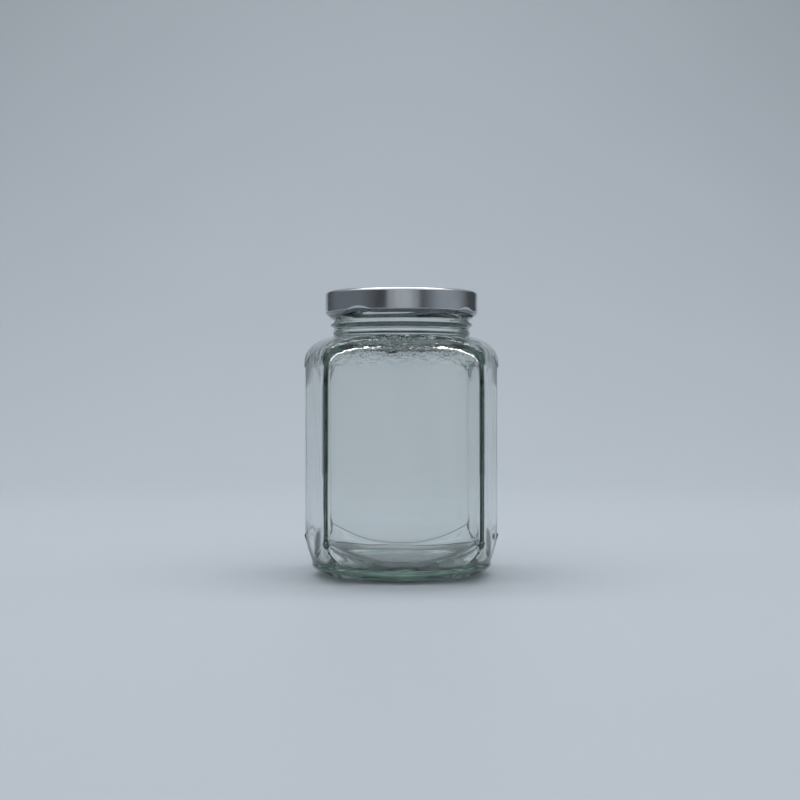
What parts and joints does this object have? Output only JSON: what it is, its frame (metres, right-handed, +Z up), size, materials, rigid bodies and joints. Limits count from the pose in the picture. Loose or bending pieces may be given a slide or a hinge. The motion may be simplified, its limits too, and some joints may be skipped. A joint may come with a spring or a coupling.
{
  "type": "food jar",
  "caption": "Empty clear glass food jar with an elongated hexagonal body, round foot and threaded neck, closed by a twist-off metal lid.",
  "frame": {"origin": "centre of the foot, on the surface that the jar stands on", "axes": "+Z up along the jar's axis, the middle of a wide panel facing -Y, the two blunt corners between the narrow panels on the X axis"},
  "size_m": [0.0844, 0.0756, 0.1221],
  "materials": {
    "glass": "clear, slightly green, glossy",
    "lid_metal": "silver lacquered tinplate, satin gloss"
  },
  "bodies": {
    "root": {"glass_jar": "glass", "lid": "lid_metal"}
  },
  "joints": []
}
